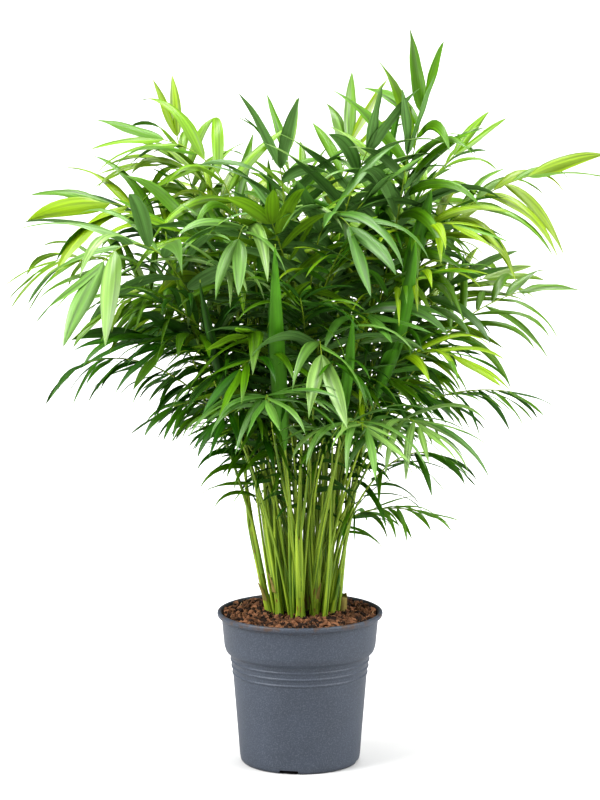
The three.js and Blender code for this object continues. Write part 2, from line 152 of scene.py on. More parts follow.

# New fronds that stand upright, still folded shut: direction, reach and height of the tip, length, width and
# tone. All nod alike, and their stalks bow to either side in turn. As with the fronds, the deep tone is
# painted shade and the bright tone is painted light coming through.
SPEAR = {"inwards": 0.6, "nod": -80, "bow": 12, "closed": 0.9, "pleats": 5, "pleat": 0.14}
SPEARS = [
    [-115, 135, 722, 240, 20, "mid"],
    [-30, 185, 742, 130, 24, "mid"],
    [-12, 128, 848, 170, 19, "mid"],
    [-97, 240, 692, 300, 23, "mid"],
    [-52, 225, 690, 220, 24, "mid"],
    [-100, 190, 655, 170, 17, "deep"],
    [-72, 205, 600, 150, 16, "mid"],
    [-126, 205, 640, 200, 17, "deep"],
    [-150, 190, 690, 170, 18, "bright"],
    [110, 120, 760, 190, 18, "mid"],
    [40, 150, 720, 180, 18, "bright"],
]

# ---- Small helpers ----

UP = np.array([0.0, 0.0, 1.0])


def mix(a, b, share):
    return a + (b - a) * share


def unit(v):
    return v / np.linalg.norm(v, axis=-1, keepdims=True)


def squared(v, way):
    """The part of a vector that is square to a direction, at length 1."""
    return unit(v - (v * way).sum(-1, keepdims=True) * way)


def heading(turn):
    return np.array([math.cos(turn), math.sin(turn), 0.0])


class Bezier:
    """A cubic curve that is read by the share of its length."""

    def __init__(self, *handles):
        self.handles = np.array(handles)
        self.moments = np.linspace(0, 1, 201)
        steps = np.linalg.norm(np.diff(self.place(self.moments), axis=0), axis=1)
        self.lengths = np.concatenate([[0], np.cumsum(steps)])
        self.length = self.lengths[-1]

    def place(self, t):
        t = np.asarray(t, float)[..., None]
        a, b, c, d = self.handles
        return a * (1 - t) ** 3 + 3 * b * t * (1 - t) ** 2 + 3 * c * t * t * (1 - t) + d * t**3

    def moment(self, share):
        return np.interp(np.asarray(share, float) * self.length, self.lengths, self.moments)

    def point(self, share):
        return self.place(self.moment(share))

    def along(self, share):
        t = self.moment(share)[..., None]
        a, b, c, d = self.handles
        return unit((b - a) * (1 - t) ** 2 + 2 * (c - b) * t * (1 - t) + (d - c) * t * t)


# ---- The rule that the canes and ribs grow by ----


def cane(index):
    """Canes fill the clump like seeds in a sunflower, and each leans a little further out as it rises."""
    spread = CLUMP["radius"] * math.sqrt((index + 0.5) / CLUMP["canes"])
    out = spread * heading(math.radians(CLUMP["first"] + CLUMP["turn"] * index))
    height = CANE["height"] + CANE["vary"] * math.sin(2.3 * index)
    foot = np.array([CLUMP["x"], CLUMP["y"], SOIL["top"] + GAP]) + out
    lean = out * CANE["splay"] * height / CANE["height"]
    top = foot + lean + height * UP
    return {"index": index, "foot": foot, "lean": lean, "height": height, "top": top, "used": []}


def stalk_way(owner, slot):
    return heading(math.radians(360 / CANE["stalks"] * slot + 30 * owner["index"]))


def seats(canes, direction, reach):
    """The free seats on the canes' tops, the best first: near the side the frond grows to, facing its way."""
    way = heading(direction)
    wish = way * SEATING["wish"] * min(reach / SEATING["far"], 1)
    free = []
    for owner in canes:
        for slot in range(CANE["stalks"]):
            if slot not in owner["used"]:
                offset = RIB["seat"] * stalk_way(owner, slot)
                away = math.hypot(*(owner["foot"] - wish)[:2])
                cost = away - offset @ way + SEATING["crowd"] * len(owner["used"])
                free.append((cost, owner, slot, owner["top"] + offset + GAP * UP))
    return sorted(free, key=lambda seat: seat[0])


def rib_curve(start, row, sway):
    """The rib rises steeply from its cane, arches over and ends at the tip. Sway bows it sideways."""
    azimuth, reach, height, nod = row[:4]
    tip = reach * heading(math.radians(azimuth)) + height * UP
    chord = tip - start
    long = np.linalg.norm(chord)
    out = unit(chord * [1, 1, 0])
    side = np.cross(UP, out)
    lean = ARCH["lean"] * math.atan2(math.hypot(chord[0], chord[1]), chord[2])
    dip = math.radians(nod)
    rise = start + ARCH["rise"] * long * (math.cos(lean) * UP + math.sin(lean) * out) + sway * side
    fall = tip + ARCH["fall"] * long * (math.sin(dip) * UP - math.cos(dip) * out) + sway / 2 * side
    return Bezier(start, rise, fall, tip)


def rib_radius(share):
    return mix(RIB["start"], RIB["end"], share)


def station_shares(curve, kind):
    """How far along the rib its stations lie: a few on the bare stalk, then two for each pair of leaflets."""
    total = curve.length
    pitch = min(kind["pitch"], RIB["bladed"] * total / kind["pairs"])
    stalk = 1 - kind["pairs"] * pitch / total
    shares = [stalk * i / RIB["stations"] for i in range(RIB["stations"])]
    for pair in range(kind["pairs"]):
        share = 1 - (kind["pairs"] - 1 - pair) * pitch / total
        shares += [share - RIB["root"] / total, share]
    return stalk, shares


def track(corners, radii):
    """Evenly spaced points along straight stretches, and the room that each takes up."""
    corners = np.array(corners)
    reached = np.concatenate([[0], np.cumsum(np.linalg.norm(np.diff(corners, axis=0), axis=1))])
    wanted = np.linspace(0, reached[-1], RIB["samples"] + 1)
    points = np.stack([np.interp(wanted, reached, corners[:, k]) for k in range(3)], 1)
    return points, np.linspace(radii[0], radii[1], RIB["samples"] + 1)


def tracks_meet(some, others):
    """Tracks meet where they come closer than their radii and a margin, small where stalks share a cane."""
    steps = np.arange(RIB["samples"] + 1)
    margin = np.where(steps[:, None] + steps < ROOM["steps"], ROOM["shared"], ROOM["between"])
    room = some[1][:, None] + others[1] + margin
    apart = ((some[0][:, None] - others[0]) ** 2).sum(-1)
    return bool((apart < room * room).any())


def clear_rib(row, canes, ribs):
    """The first seat and sway that bring a frond's rib clear of every cane and rib so far."""
    for _, owner, slot, start in seats(canes, math.radians(row[0]), row[1]):
        rivals = [c["track"] for c in canes if c is not owner] + [rib["track"] for rib in ribs]
        for sway in SWAYS:
            curve = rib_curve(start, row, sway)
            stalk, shares = station_shares(curve, KINDS[row[5]])
            way = track(curve.point(shares), (RIB["start"], RIB["end"]))
            if not any(tracks_meet(way, rival) for rival in rivals):
                owner["used"].append(slot)
                return {"row": row, "curve": curve, "track": way, "stalk": stalk,
                        "owner": owner, "slot": slot}
    raise ValueError(f"no clear way for the frond at {row[:3]}")


def frame_at(rib, share):
    """A frame on the rib, rolled about it: where it is, its way on, its right side and its upper side."""
    curve = rib["curve"]
    at, along = curve.point(share), curve.along(share)
    inwards = (curve.handles[0] - curve.handles[3]) * [1, 1, 0]
    level = squared(inwards if along[2] > ARCH["steep"] else UP, along)
    turn = math.radians(rib["row"][4]) * min(share / rib["stalk"], 1)
    right = math.cos(turn) * np.cross(along, level) + math.sin(turn) * level
    return at, along, right, np.cross(right, along)


def grow():
    """Every cane, and every frond's rib in the source's order."""
    canes = [cane(i) for i in range(CLUMP["canes"])]
    for c in canes:
        c["track"] = track([c["foot"], c["top"]], (CANE["foot"], CANE["foot"]))
    ribs = []
    for tier, rows in FRONDS.items():
        for i, row in enumerate(rows):
            rib = clear_rib(row, canes, ribs)
            rib["name"] = f"frond_{tier}_{i + 1:02d}"
            ribs.append(rib)
    return canes, ribs


def in_soil(foot):
    """Where a stalk begins, a little below the soil, from its place in the clump."""
    return np.array([CLUMP["x"], CLUMP["y"], SOIL["top"] - YOUNG["sunk"]]) + foot


def young_fronds():
    """Fronds of the same rule that stand between the source's, further in."""
    fronds = []
    for i in range(YOUNG["count"]):
        share = (i + 0.5) / YOUNG["count"]
        azimuth = YOUNG["first"] + YOUNG["turn"] * i
        rng = np.random.default_rng(500 + i)
        least, more = YOUNG["reach"]
        reach = (least + more * math.sin(math.pi * mix(0.1, 0.85, share))) * rng.uniform(0.7, 1.0)
        height = mix(YOUNG["low"], YOUNG["high"], share)
        nod = mix(*YOUNG["nod"], share) + rng.uniform(-YOUNG["nod_vary"], YOUNG["nod_vary"])
        kind = "fine" if share < YOUNG["fine"] else YOUNG_KINDS[i % len(YOUNG_KINDS)]
        tone = "deep" if share < YOUNG["deep"] else YOUNG_TONES[i % len(YOUNG_TONES)]
        row = [azimuth, reach, height, nod, rng.uniform(-YOUNG["roll"], YOUNG["roll"]), kind, tone]
        spread = YOUNG["clump"] * math.sqrt(rng.uniform(0.1, 1))
        foot = spread * heading(math.radians(azimuth + rng.uniform(-50, 50)))
        curve = rib_curve(in_soil(foot), row, rng.uniform(-YOUNG["sway"], YOUNG["sway"]))
        stalk, _ = station_shares(curve, KINDS[kind])
        fronds.append({"row": row, "curve": curve, "stalk": stalk})
    return fronds


def spear_ribs():
    """The stalks of the folded fronds, from the soil to the tip. They lean a little and hardly nod."""
    ribs = []
    for i, (azimuth, reach, height, long, wide, tone) in enumerate(SPEARS):
        foot = YOUNG["clump"] * SPEAR["inwards"] * heading(math.radians(azimuth))
        row = [azimuth, reach, height, SPEAR["nod"], 0, "broad", tone]
        curve = rib_curve(in_soil(foot), row, SPEAR["bow"] * (-1) ** i)
        ribs.append({"row": row, "curve": curve, "long": long, "wide": wide})
    return ribs


# ---- Making pieces ----


def turned(profile, steps):
    """A profile of (radius, height) points spun round the upright axis."""
    bm = bmesh.new()
    verts = [bm.verts.new((r, 0, z)) for r, z in profile]
    for a, b in zip(verts, verts[1:]):
        bm.edges.new((a, b))
    bmesh.ops.spin(
        bm, geom=bm.verts[:] + bm.edges[:], axis=(0, 0, 1), cent=(0, 0, 0), angle=math.tau, steps=steps,
        use_merge=True)
    bmesh.ops.remove_doubles(bm, verts=bm.verts, dist=1e-4)
    bmesh.ops.recalc_face_normals(bm, faces=bm.faces)
    return bm


def softened(profile, radius, steps=3):
    """The profile with each corner rounded off."""
    points = [np.array(p, float) for p in profile]
    out = [points[0]]
    for a, b, c in zip(points, points[1:], points[2:]):
        cut = [min(radius, 0.45 * np.linalg.norm(p - b)) for p in (a, c)]
        start, end = b + cut[0] * unit(a - b), b + cut[1] * unit(c - b)
        for t in np.linspace(0, 1, steps + 1):
            out.append(start * (1 - t) ** 2 + 2 * b * t * (1 - t) + end * t * t)
    return out + [points[-1]]


def streaked(shape):
    """Gives an upright unit shape a UV map of x and height, so that its streaks follow its bends."""
    shape["uv"] = [tuple(shape["points"][i][[0, 2]]) for face in shape["faces"] for i in face]
    return shape


def template(bm):
    """A small shape as arrays, to be repeated: its points, faces, the faces' materials and its UV map."""
    bm.verts.index_update()
    uv = bm.loops.layers.uv.active
    shape = {
        "points": np.array([v.co for v in bm.verts]),
        "faces": [[v.index for v in f.verts] for f in bm.faces],
        "materials": [f.material_index for f in bm.faces],
        "uv": [tuple(loop[uv].uv) if uv else (0, 0) for f in bm.faces for loop in f.loops],
    }
    bm.free()
    return shape


class Bundle:
    """Many small shapes joined into one mesh."""

    def __init__(self):
        self.points, self.faces, self.materials, self.uv, self.count = [], [], [], [], 0

    def add(self, shape, points, material=0, shift=0):
        self.points.append(points)
        self.faces += [[i + self.count for i in face] for face in shape["faces"]]
        self.materials += [m + material for m in shape["materials"]]
        self.uv += [(x + shift, y) for x, y in shape["uv"]] if shift else shape["uv"]
        self.count += len(points)

    def mesh(self, name):
        made = bpy.data.meshes.new(name)
        made.from_pydata(np.concatenate(self.points), [], self.faces)
        made.polygons.foreach_set("material_index", self.materials)
        made.uv_layers.new(name="blade").uv.foreach_set("vector", np.array(self.uv, np.float32).ravel())
        return made


def finished(name, mesh, materials, replaced=(), crease=50):
    """Turns a mesh in millimetres into a piece in metres that rides with the pot."""
    mesh.transform(Matrix.Scale(MM, 4))
    for material in materials:
        mesh.materials.append(material)
    mesh.shade_smooth()
    mesh.set_sharp_from_angle(angle=math.radians(crease))
    made = bpy.data.objects.new(name, mesh)
    bpy.context.scene.collection.objects.link(made)
    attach(made, "root")
    if replaced:
        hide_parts(*replaced)


# ---- Materials ----


def linear(code, gain=1.0):
    """An sRGB hex colour as linear light."""
    channels = [int(code[i : i + 2], 16) / 255 for i in (1, 3, 5)]
    return [gain * (c / 12.92 if c <= 0.04045 else ((c + 0.055) / 1.055) ** 2.4) for c in channels] + [1]


def add(tree, kind, inputs=None, **settings):
    """Adds a node. Settings are its own properties, and inputs are values or other nodes' outputs."""
    made = tree.nodes.new(kind)
    for name, value in settings.items():
        setattr(made, name, value)
    for socket, value in (inputs or {}).items():
        if isinstance(value, bpy.types.NodeSocket):
            tree.links.new(value, made.inputs[socket])
        else:
            made.inputs[socket].default_value = value
    return made


def blank(name):
    """A new material with an empty tree."""
    made = bpy.data.materials.new(name)
    made.use_nodes = True
    made.node_tree.nodes.clear()
    return made, made.node_tree


def blend(tree, share, dark, light):
    """A colour between two others, which are colours or other nodes' outputs."""
    return add(tree, "ShaderNodeMix", {0: share, 6: dark, 7: light}, data_type="RGBA").outputs[2]


def shaded(tree, pattern, span, dark, light):
    """A colour that goes from dark to light over a span of the pattern's values."""
    share = add(tree, "ShaderNodeMapRange", {"Value": pattern, "From Min": span[0], "From Max": span[1]})
    return blend(tree, share.outputs[0], dark, light)


def leaf_skin(name, code, roughness, shine, glow):
    """Living palm leaf: a waxy skin with a satin sheen, thin enough that light from behind comes through
    yellow-green. Its lengthwise veins and pleats lie 1 mm apart, and are drawn 2 to 5 mm apart, or further
    on folded fronds."""
    made, tree = blank(name)
    uv = add(tree, "ShaderNodeUVMap", uv_map="blade")
    stretch = add(tree, "ShaderNodeMapping", {"Vector": uv.outputs[0], "Scale": (5.5, 0.5, 1)})
    veins = add(tree, "ShaderNodeTexNoise", {"Vector": stretch.outputs[0], "Scale": 1.0, "Detail": 2.5})
    shades = shaded(tree, veins.outputs["Fac"], (0.34, 0.66), linear(code, 0.55), linear(code, 1.4))
    ridges = add(tree, "ShaderNodeBump", {
        "Height": veins.outputs["Fac"], "Strength": 0.7, "Distance": 0.0012})
    skin = add(tree, "ShaderNodeBsdfPrincipled", {
        "Base Color": shades, "Roughness": roughness, "IOR": 1.45, "Specular IOR Level": shine,
        "Normal": ridges.outputs[0]})
    through = add(tree, "ShaderNodeBsdfTranslucent", {"Color": linear(glow)})
    both = add(tree, "ShaderNodeMixShader", {0: 0.3, 1: skin.outputs[0], 2: through.outputs[0]})
    add(tree, "ShaderNodeOutputMaterial", {"Surface": both.outputs[0]})
    return made


def stalk_skin():
    """Living leaf stalk: smooth and waxy, from deep to pale yellow-green. Its lengthwise streaks are under
    1 mm wide, and are drawn broader, a few round each stalk. They follow it wherever it bends."""
    made, tree = blank("living_leaf_stalk")
    uv = add(tree, "ShaderNodeUVMap", uv_map="blade")
    stretch = add(tree, "ShaderNodeMapping", {"Vector": uv.outputs[0], "Scale": (0.9, 5, 1)})
    streaks = add(tree, "ShaderNodeTexNoise", {"Vector": stretch.outputs[0], "Scale": 1.0, "Detail": 2.0})
    shades = shaded(tree, streaks.outputs["Fac"], (0.3, 0.7), linear("#325c04"), linear("#a0b834"))
    skin = add(tree, "ShaderNodeBsdfPrincipled", {"Base Color": shades, "Roughness": 0.55, "IOR": 1.45})
    add(tree, "ShaderNodeOutputMaterial", {"Surface": skin.outputs[0]})
    return made


def cane_skin():
    """Young sheathed cane: waxy green fibres with small red-brown scars. Its fibres are under 1 mm wide, and
    are drawn as broader streaks along each cane."""
    made, tree = blank("young_cane_sheath")
    where = add(tree, "ShaderNodeTexCoord")
    uv = add(tree, "ShaderNodeUVMap", uv_map="blade")
    stretch = add(tree, "ShaderNodeMapping", {"Vector": uv.outputs[0], "Scale": (1.8, 1.2, 1)})
    streaks = add(tree, "ShaderNodeTexNoise", {"Vector": stretch.outputs[0], "Scale": 1.0, "Detail": 3.0})
    greens = shaded(tree, streaks.outputs["Fac"], (0.32, 0.68), linear("#244a04"), linear("#9cb22c"))
    patches = add(tree, "ShaderNodeMapping", {"Vector": where.outputs["Object"], "Scale": (190, 190, 75)})
    marks = add(tree, "ShaderNodeTexNoise", {"Vector": patches.outputs[0], "Scale": 1.0, "Detail": 4.0})
    spots = add(tree, "ShaderNodeValToRGB", {"Fac": marks.outputs["Fac"]})
    spots.color_ramp.elements[0].position = 0.60
    spots.color_ramp.elements[1].position = 0.68
    shades = blend(tree, spots.outputs["Color"], greens, linear("#6e4222"))
    ridges = add(tree, "ShaderNodeBump", {
        "Height": streaks.outputs["Fac"], "Strength": 0.3, "Distance": 0.0003})
    skin = add(tree, "ShaderNodeBsdfPrincipled", {
        "Base Color": shades, "Roughness": 0.58, "IOR": 1.45, "Normal": ridges.outputs[0]})
    add(tree, "ShaderNodeOutputMaterial", {"Surface": skin.outputs[0]})
    return made


def dry_husk():
    """Dead leaf sheath: papery, matt and pale brown, torn along its fibres. They are under 1 mm wide, and are
    drawn at 1.7 mm."""
    made, tree = blank("dry_papery_sheath")
    where = add(tree, "ShaderNodeTexCoord")
    stretch = add(tree, "ShaderNodeMapping", {"Vector": where.outputs["Object"], "Scale": (600, 600, 60)})
    fibres = add(tree, "ShaderNodeTexNoise", {"Vector": stretch.outputs[0], "Scale": 1.0, "Detail": 3.0})
    shades = blend(tree, fibres.outputs["Fac"], linear("#5a4420"), linear("#9c9450"))
    skin = add(tree, "ShaderNodeBsdfPrincipled", {"Base Color": shades, "Roughness": 0.85, "IOR": 1.4})
    add(tree, "ShaderNodeOutputMaterial", {"Surface": skin.outputs[0]})
    return made


def moulded_plastic():
    """Injection-moulded polypropylene: slate grey and matt from a spark-eroded mould, with soft cloudy scuffs
    40 mm across, and brown patches that fade in from 184 to 189 mm up and cover the top of the pot. The
    grain's faint specks, 0.5 mm across, are drawn at 1.6 mm."""
    made, tree = blank("moulded_polypropylene")
    where = add(tree, "ShaderNodeTexCoord")
    spot = where.outputs["Object"]
    clouds = add(tree, "ShaderNodeTexNoise", {"Vector": spot, "Scale": 25.0, "Detail": 4.0})
    greys = blend(tree, clouds.outputs["Fac"], linear("#2f353f"), linear("#3c434f"))
    speckle = add(tree, "ShaderNodeTexNoise", {"Vector": spot, "Scale": 620.0, "Detail": 1.0})
    specks = add(tree, "ShaderNodeMapRange", {
        "Value": speckle.outputs["Fac"], "From Min": 0.45, "From Max": 0.75, "To Max": 0.28})
    scuffed = blend(tree, specks.outputs[0], greys, linear("#68707b"))
    # Brown patches that fade in from 184 to 189 mm up and cover the top of the pot.
    height = add(tree, "ShaderNodeSeparateXYZ", {"Vector": spot})
    band = add(tree, "ShaderNodeMapRange", {
        "Value": height.outputs["Z"], "From Min": 0.184, "From Max": 0.189})
    drift = add(tree, "ShaderNodeTexNoise", {"Vector": spot, "Scale": 70.0, "Detail": 6.0})
    brown_patches = add(tree, "ShaderNodeMapRange", {
        "Value": drift.outputs["Fac"], "From Min": 0.5, "From Max": 0.66, "To Max": 0.75})
    brown_at_top = add(tree, "ShaderNodeMath", {0: band.outputs[0], 1: brown_patches.outputs[0]}, operation="MULTIPLY")
    shades = blend(tree, brown_at_top.outputs[0], scuffed, linear("#4a3526"))
    grain = add(tree, "ShaderNodeTexNoise", {"Vector": spot, "Scale": 1600.0, "Detail": 2.0})
    relief = add(tree, "ShaderNodeBump", {
        "Height": grain.outputs["Fac"], "Strength": 0.25, "Distance": 0.0002})
    gloss = add(tree, "ShaderNodeMapRange", {"Value": clouds.outputs["Fac"], "To Min": 0.48, "To Max": 0.62})
    skin = add(tree, "ShaderNodeBsdfPrincipled", {
        "Base Color": shades, "Roughness": gloss.outputs[0], "IOR": 1.49, "Normal": relief.outputs[0]})
    add(tree, "ShaderNodeOutputMaterial", {"Surface": skin.outputs[0]})
    return made


def peat(name, dark, light):
    """Moist peat: dull, dark red-brown crumbs. Its grains of 1 mm are drawn at 2.4 mm and finer."""
    made, tree = blank(name)
    where = add(tree, "ShaderNodeTexCoord")
    grains = add(tree, "ShaderNodeTexNoise", {
        "Vector": where.outputs["Object"], "Scale": 420.0, "Detail": 5.0})
    shades = blend(tree, grains.outputs["Fac"], linear(dark), linear(light))
    relief = add(tree, "ShaderNodeBump", {
        "Height": grains.outputs["Fac"], "Strength": 0.8, "Distance": 0.001})
    skin = add(tree, "ShaderNodeBsdfPrincipled", {
        "Base Color": shades, "Roughness": 0.92, "IOR": 1.4, "Normal": relief.outputs[0]})
    add(tree, "ShaderNodeOutputMaterial", {"Surface": skin.outputs[0]})
    return made


def studio_paper():
    """Matt pale grey background paper."""
    made, tree = blank("matt_studio_paper")
    skin = add(tree, "ShaderNodeBsdfPrincipled", {"Base Color": linear("#c0c0c0"), "Roughness": 0.9})
    add(tree, "ShaderNodeOutputMaterial", {"Surface": skin.outputs[0]})
    return made


# ---- Pot ----

# Radius and height: a tapered body, three fine raised rings, a rounded shoulder, a collar and a rolled lip.
COLLAR = 99.6
RINGS = [(85.4, 116), (86.6, 124.5), (87.8, 133)]
OUTSIDE = [
    (0, 0), (POT["foot"], 0), (POT["foot"] + 2.2, 3), (POT["foot"] + 3.2, 9),
    *[(r + out, z + up) for r, z in RINGS for out, up in ((-0.2, -1.6), (0.9, -0.9), (0.9, 0.7), (0, 1.6))],
    (89.2, 140), (94, 144), (96.2, 151), (COLLAR, POT["height"] - 8),
]
LIP = [
    (POT["rim"] - 1, POT["height"] - 6.5), (POT["rim"], POT["height"] - 4.5),
    (POT["rim"], POT["height"] - 1.5), (POT["rim"] - 1.5, POT["height"]),
    (POT["rim"] - 4.2, POT["height"]), (COLLAR - 0.6, POT["height"] - 2.5),
]
INSIDE = [
    (COLLAR - POT["wall"], POT["height"] - 8), (96.2 - POT["wall"], 151), (94 - POT["wall"], 145),
    (88.4 - POT["wall"], 140), (85.8 - POT["wall"], 121), (POT["foot"] + 3.2 - POT["wall"], 9),
    (POT["foot"] + 1.4 - POT["wall"], POT["floor"]), (0, POT["floor"]),
]


def make_pot():
    bm = turned(softened(OUTSIDE + LIP + INSIDE, 1.2), 144)
    mesh = bpy.data.meshes.new("pot")
    bm.to_mesh(mesh)
    bm.free()
    shell = bpy.data.objects.new("pot_blank", mesh)
    cutters = bmesh.new()
    for i in range(NOTCH["count"]):
        turn = Matrix.Rotation(math.radians(NOTCH["first"] + 360 / NOTCH["count"] * i), 4, "Z")
        place = turn @ Matrix.Translation((POT["foot"] - 2, 0, 0))
        size = Matrix.Diagonal((NOTCH["depth"], NOTCH["width"], 2 * NOTCH["height"], 1))
        bmesh.ops.create_cube(cutters, size=1, matrix=place @ size)
    bmesh.ops.bevel(
        cutters, geom=cutters.edges[:], offset=1.2, segments=3, affect="EDGES", profile=0.5, material=-1)
    block = bpy.data.meshes.new("notches")
    cutters.to_mesh(block)
    cutters.free()
    tool = bpy.data.objects.new("notch_blocks", block)
    for o in (shell, tool):
        bpy.context.scene.collection.objects.link(o)
    cut = shell.modifiers.new("notches", "BOOLEAN")
    cut.object = tool
    cut.operation = "DIFFERENCE"
    cut.solver = "EXACT"
    seen = shell.evaluated_get(bpy.context.evaluated_depsgraph_get())
    carved = bpy.data.meshes.new_from_object(seen)
    bpy.data.objects.remove(shell)
    bpy.data.objects.remove(tool)
    carved.name = "nursery_pot"
    finished("nursery_pot", carved, [moulded_plastic()], ["pot"], crease=35)


# ---- Soil ----


def soil_height(x, y):
    """The soil's mound with its lumps."""
    away = math.hypot(x, y)
    reach = SOIL["flat"], COLLAR - POT["wall"] - SOIL["clearance"]
    fall = min(max((away - reach[0]) / (reach[1] - reach[0]), 0), 1)
    lumps = noise.fractal(Vector((x, y, 3.0)) / 14, 0.8, 2.0, 4)
    return SOIL["top"] + 0.5 - 2 * fall + 2.4 * lumps


def make_soil():
    wall = [(r - SOIL["clearance"], z) for r, z in INSIDE[:-1]]
    wall[0] = (wall[0][0], SOIL["edge"] - 1.5)
    low = (wall[-1][0] - 1, SOIL["bottom"])
    rings = [(wall[0][0] * (1 - i / 44), SOIL["top"]) for i in range(1, 44)]
    bm = turned([(0, SOIL["bottom"]), low, *wall[-2::-1], *rings, (0, SOIL["top"])], 120)
    for v in bm.verts:
        if v.co.z > SOIL["top"] - 1:
            v.co.z = soil_height(v.co.x, v.co.y)
    mesh = bpy.data.meshes.new("peat_body")
    bm.to_mesh(mesh)
    bm.free()
    finished("peat_body", mesh, [peat("moist_peat", "#120a05", "#332014")], ["soil"])


def turns(rng, count):
    """Random rotations as matrices."""
    q = unit(rng.normal(size=(count, 4)))
    w, x, y, z = q.T
    rows = [[1 - 2 * (y * y + z * z), 2 * (x * y - z * w), 2 * (x * z + y * w)],
            [2 * (x * y + z * w), 1 - 2 * (x * x + z * z), 2 * (y * z - x * w)],
            [2 * (x * z - y * w), 2 * (y * z + x * w), 1 - 2 * (x * x + y * y)]]
    return np.array(rows).transpose(2, 0, 1)


CRUMBS = {"count": 4200, "small": 1.0, "large": 4.4, "chips": 420, "threads": 30}


def make_crumbs():
    """Loose crumbs of peat, flat bark chips and short root threads over the whole mound."""
    rng = np.random.default_rng(11)
    bm = bmesh.new()
    bmesh.ops.create_icosphere(bm, subdivisions=1, radius=1)
    lump = template(bm)
    edge = COLLAR - POT["wall"] - 0.5
    bundle = Bundle()

    def scatter(count, sizes, squash, sunk, material):
        radii = edge * np.sqrt(rng.random(count))
        angles = math.tau * rng.random(count)
        for radius, angle, turn in zip(radii, angles, turns(rng, count)):
            size = sizes[0] * (sizes[1] / sizes[0]) ** (rng.random() ** 1.7)
            rough = lump["points"] * (1 + 0.3 * rng.normal(size=(12, 1))) * squash * rng.uniform(0.55, 1.3, 3)
            x, y, _ = min(radius, edge - size) * heading(angle)
            place = np.array([x, y, soil_height(x, y) + sunk * size])
            kind = int(rng.integers(3)) if material is None else material
            bundle.add(lump, size * rough @ turn.T + place, kind)

    scatter(CRUMBS["count"], (CRUMBS["small"], CRUMBS["large"]), [1, 1, 1], 0.35, None)
    scatter(CRUMBS["chips"], (2, 4.6), [1, 0.5, 0.25], 0.35, 2)
    scatter(CRUMBS["threads"], (3, 8), [1, 0.06, 0.06], 0.12, 3)
    materials = [peat("dark_peat_crumb", "#0e0704", "#2e1c10"), peat("red_peat_crumb", "#2a180d", "#6b4a31"),
                 peat("bark_chip", "#4c2e1d", "#946a4c"), peat("root_thread", "#8f7350", "#c9b48c")]
    finished("peat_crumbs", bundle.mesh("peat_crumbs"), materials, crease=25)


# ---- Canes and stalks ----


def cane_shape(sides=24, rows=34):
    """A hollow-topped tube one unit high and round: its outside, its rim and the cup inside the rim."""
    outside = [(1, i / rows) for i in range(rows + 1)]
    cup = [(0.86, 0.995), (0.8, 0.96), (0.74, 0.9), (0, 0.88)]
    return template(turned([(0, 0), *outside, *cup], sides))


def make_canes(canes):
    """Each cane is wrapped in leaf sheaths: ribbed lengthwise, ringed where old leaves fell, flared at the
    foot, and open at the top, where the rim stands highest behind each stalk."""
    shape = streaked(cane_shape())
    x, y, s = shape["points"].T
    round_share, angle = np.hypot(x, y), np.arctan2(y, x)
    bundle = Bundle()
    for c in canes:
        rng = np.random.default_rng(200 + c["index"])
        rise = s * c["height"]
        flare = np.clip(1 - rise / CANE["flare"], 0, 1) ** 1.6
        radius = mix(CANE["radius"] - 0.3, 3.2, s**1.2) + (CANE["foot"] - CANE["radius"]) * flare
        for at in rng.uniform(8, 0.75 * c["height"], 3):
            radius += 0.4 * np.exp(-(((rise - at - 1.2 * np.sin(angle + at)) / 1.6) ** 2))
        radius += 0.13 * np.cos(11 * angle + rng.uniform(0, 6) + 0.02 * rise)
        radius += 0.1 * np.cos(5 * angle + rise / 9)
        open_end = np.clip((s - 0.72) / 0.28, 0, 1) ** 2
        lobes = 7 * np.cos(3 * (angle - math.radians(30 * c["index"]))) * open_end
        bow = 1.6 * np.sin(math.pi * s)[:, None] * heading(rng.uniform(0, math.tau))
        spine = c["foot"] + s[:, None] * c["lean"] + bow
        ring = (radius * round_share)[:, None] * np.stack([np.cos(angle), np.sin(angle), 0 * s], 1)
        bundle.add(shape, spine + ring + (rise + lobes)[:, None] * UP, shift=rng.uniform(1, 90))
    names = [f"cane_{c['index'] + 1:02d}" for c in canes]
    finished("sheathed_canes", bundle.mesh("sheathed_canes"), [cane_skin()], names, crease=60)


HUSKS = {"short": 12, "tall": 34, "wrap": 0.8, "curl": 6}
STUB = {"x": 54, "y": 6, "height": 30, "radius": 5.4, "sunk": 8}


def make_husks(canes):
    """A dead leaf sheath, torn to a point, near the foot of each cane, and the stub of a cut cane."""
    shape = blade_shape(6, 9)
    u, s, layer = shape["points"].T
    bundle = Bundle()
    rng = np.random.default_rng(31)
    for c in canes:
        tall = rng.uniform(HUSKS["short"], HUSKS["tall"])
        rise = rng.uniform(-0.05, 0.4) * c["height"] + tall * s
        turn = rng.uniform(0, math.tau) + HUSKS["wrap"] * u * (1 - s) ** 0.9
        radius = CANE["radius"] + 0.5 + rng.uniform(0.2, 1) * HUSKS["curl"] * s**2.5 + 0.12 * layer
        spine = c["foot"] + (rise / c["height"])[:, None] * c["lean"] + rise[:, None] * UP
        bundle.add(shape, spine + radius[:, None] * np.stack([np.cos(turn), np.sin(turn), 0 * s], 1))

    shape = cane_shape(16, 12)
    x, y, s = shape["points"].T
    angle = np.arctan2(y, x)
    rise = (STUB["height"] + 3 * np.sin(2 * angle) + 1.5 * np.sin(5 * angle)) * s - STUB["sunk"]
    ring = STUB["radius"] * (1 + 0.08 * np.cos(3 * angle))[:, None] * np.stack([x, y, 0 * s], 1)
    bundle.add(shape, np.array([STUB["x"], STUB["y"], SOIL["top"]]) + ring + rise[:, None] * UP)
    husk = dry_husk()
    finished("dry_sheaths", bundle.mesh("dry_sheaths"), [husk, husk], crease=60)


